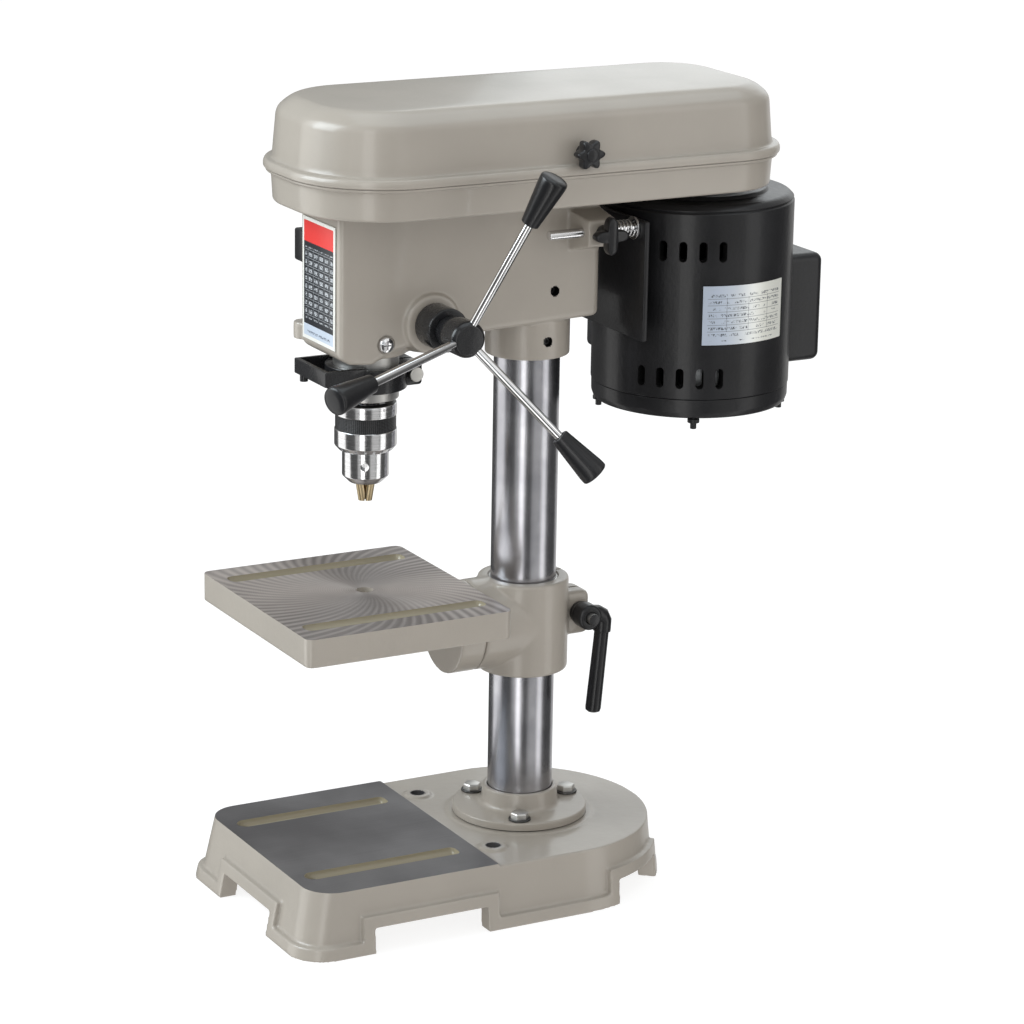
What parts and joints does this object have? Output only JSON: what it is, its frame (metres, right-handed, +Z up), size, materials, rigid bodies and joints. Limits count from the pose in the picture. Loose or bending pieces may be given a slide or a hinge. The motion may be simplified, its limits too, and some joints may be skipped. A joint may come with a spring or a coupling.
{
  "type": "bench drill press",
  "caption": "Bench drill press: feet and column, tilting table on a sliding bracket, head with rack feed and three handles, chuck, belt drive under a lid, and motor.",
  "frame": {"origin": "middle of the overall plan outline, on the bench the feet stand on", "axes": "+Z up the column, -Y towards the chuck and operator, +X to the feed handles"},
  "size_m": [0.232, 0.4452, 0.566],
  "materials": {
    "grey_enamel_iron": "warm light grey gloss enamel over cast iron",
    "grey_enamel_sheet": "warm light grey gloss enamel over pressed steel",
    "bright_steel": "bright plated or ground steel",
    "zinc_steel": "zinc plated steel",
    "black_plastic": "black moulded plastic",
    "black_metal": "black finished steel",
    "satin_black_paint": "satin black paint",
    "belt_rubber": "matt black rubber",
    "cast_alloy": "cast and turned alloy",
    "jaw_steel": "hardened steel with a straw tint",
    "printed_label": "printed plate",
    "silver_label": "silver printed plate"
  },
  "bodies": {
    "stand": {"base": "grey_enamel_iron", "column_flange": "grey_enamel_iron", "column": "bright_steel", "flange_bolt_1": "zinc_steel", "flange_bolt_2": "zinc_steel", "flange_bolt_3": "zinc_steel", "head": "grey_enamel_iron", "column_set_screw_1": "zinc_steel", "column_set_screw_2": "zinc_steel", "gib_screw": "bright_steel", "spring_housing": "black_plastic", "belt_tub": "grey_enamel_sheet", "drive_belt": "belt_rubber", "speed_plate": "printed_label", "switch_box": "black_plastic", "tension_spring": "bright_steel"},
    "quill": {"quill": "zinc_steel", "quill_collar": "black_metal", "collar_bolt": "zinc_steel"},
    "spindle": {"spindle": "bright_steel", "chuck_body": "bright_steel"},
    "chuck_sleeve": {"chuck_sleeve": "bright_steel"},
    "jaw_1": {"chuck_jaw_1": "jaw_steel"},
    "jaw_2": {"chuck_jaw_2": "jaw_steel"},
    "jaw_3": {"chuck_jaw_3": "jaw_steel"},
    "feed": {"pinion_shaft": "zinc_steel", "feed_collar": "black_metal", "feed_hub": "black_metal", "feed_rod_1": "bright_steel", "feed_rod_2": "bright_steel", "feed_rod_3": "bright_steel", "feed_knob_1": "black_plastic", "feed_knob_2": "black_plastic", "feed_knob_3": "black_plastic"},
    "spindle_pulley": {"spindle_pulley": "cast_alloy"},
    "motor": {"motor_body": "satin_black_paint", "motor_cap": "satin_black_paint", "tie_bolt_1": "zinc_steel", "tie_bolt_2": "zinc_steel", "tie_bolt_3": "zinc_steel", "tie_bolt_4": "zinc_steel", "capacitor_box": "black_plastic", "terminal_box": "black_plastic", "rating_plate": "silver_label", "motor_bracket": "satin_black_paint", "slide_rod_left": "bright_steel", "slide_rod_right": "bright_steel", "spring_washer": "bright_steel"},
    "motor_rotor": {"motor_shaft": "zinc_steel", "motor_pulley": "cast_alloy"},
    "belt_cover": {"belt_cover": "grey_enamel_sheet"},
    "cover_knob": {"cover_knob": "black_plastic"},
    "tension_knob": {"tension_knob": "black_plastic"},
    "table_slide": {"bracket_liner": "zinc_steel"},
    "table_arm": {"table_bracket": "grey_enamel_iron", "clamp_screw": "zinc_steel", "tilt_bolt": "zinc_steel"},
    "table": {"table": "grey_enamel_iron"},
    "clamp_lever": {"clamp_lever": "black_metal"},
    "switch_toggle": {"switch_toggle": "bright_steel"}
  },
  "joints": [
    {"name": "quill_slide", "type": "slide", "parent": "stand", "child": "quill", "axis": [0, 0, -1], "range_m": [0, 0.05], "stiffness_N_per_m": 150, "springref_m": -0.2},
    {"name": "feed_turn", "type": "hinge", "parent": "stand", "child": "feed", "pos_m": [0.0327, -0.0974, 0.4159], "axis": [1, 0, 0], "range_deg": [0, 240]},
    {"name": "spindle_spin", "type": "hinge", "parent": "quill", "child": "spindle", "pos_m": [-0.0173, -0.1304, 0.34], "axis": [0, 0, 1], "continuous": true},
    {"name": "sleeve_turn", "type": "hinge", "parent": "spindle", "child": "chuck_sleeve", "pos_m": [-0.0173, -0.1304, 0.34], "axis": [0, 0, 1], "range_deg": [0, 360]},
    {"name": "jaw_1_slide", "type": "slide", "parent": "spindle", "child": "jaw_1", "axis": [0.1473, 0.092, 0.9848], "range_m": [0, 0.00401]},
    {"name": "jaw_2_slide", "type": "slide", "parent": "spindle", "child": "jaw_2", "axis": [-0.1533, 0.0815, 0.9848], "range_m": [0, 0.00401]},
    {"name": "jaw_3_slide", "type": "slide", "parent": "spindle", "child": "jaw_3", "axis": [0.0061, -0.1735, 0.9848], "range_m": [0, 0.00401]},
    {"name": "pulley_spin", "type": "hinge", "parent": "stand", "child": "spindle_pulley", "pos_m": [-0.0173, -0.1304, 0.52], "axis": [0, 0, 1], "continuous": true},
    {"name": "motor_slide", "type": "slide", "parent": "stand", "child": "motor", "axis": [0, 1, 0], "range_m": [-0.008, 0], "stiffness_N_per_m": 1500, "springref_m": 0.01, "deforming": ["tension_spring"]},
    {"name": "rotor_spin", "type": "hinge", "parent": "motor", "child": "motor_rotor", "pos_m": [-0.0173, 0.1254, 0.52], "axis": [0, 0, 1], "continuous": true},
    {"name": "cover_hinge", "type": "hinge", "parent": "stand", "child": "belt_cover", "pos_m": [-0.0959, -0.0064, 0.5174], "axis": [0, -1, 0], "range_deg": [0, 80]},
    {"name": "cover_knob_turn", "type": "hinge", "parent": "belt_cover", "child": "cover_knob", "pos_m": [0.0667, -0.0079, 0.5325], "axis": [1, 0, 0], "continuous": true},
    {"name": "tension_knob_turn", "type": "hinge", "parent": "stand", "child": "tension_knob", "pos_m": [0.0427, 0.0216, 0.4712], "axis": [1, 0, 0], "range_deg": [-180, 180]},
    {"name": "table_height", "type": "slide", "parent": "stand", "child": "table_slide", "axis": [0, 0, 1], "range_m": [-0.06, 0.05]},
    {"name": "table_swing", "type": "hinge", "parent": "table_slide", "child": "table_arm", "pos_m": [-0.0173, -0.0064, 0.19], "axis": [0, 0, 1], "range_deg": [-180, 180]},
    {"name": "table_tilt", "type": "hinge", "parent": "table_arm", "child": "table", "pos_m": [-0.0173, -0.0614, 0.1885], "axis": [0, 1, 0], "range_deg": [-45, 45]},
    {"name": "clamp_lever_turn", "type": "hinge", "parent": "table_arm", "child": "clamp_lever", "pos_m": [0.0067, 0.0321, 0.1905], "axis": [1, 0, 0], "range_deg": [-10, 100]},
    {"name": "switch_flip", "type": "hinge", "parent": "stand", "child": "switch_toggle", "pos_m": [-0.0638, -0.1464, 0.461], "axis": [0, 1, 0], "range_deg": [0, 28]}
  ],
  "couplings": [
    {"joint": "feed_turn", "follows": "quill_slide", "rad_per_m": 83.333},
    {"joint": "spindle_spin", "follows": "pulley_spin", "ratio": 1},
    {"joint": "rotor_spin", "follows": "pulley_spin", "ratio": 2},
    {"joint": "jaw_1_slide", "follows": "sleeve_turn", "m_per_rad": 0.0006366},
    {"joint": "jaw_2_slide", "follows": "sleeve_turn", "m_per_rad": 0.0006366},
    {"joint": "jaw_3_slide", "follows": "sleeve_turn", "m_per_rad": 0.0006366}
  ]
}
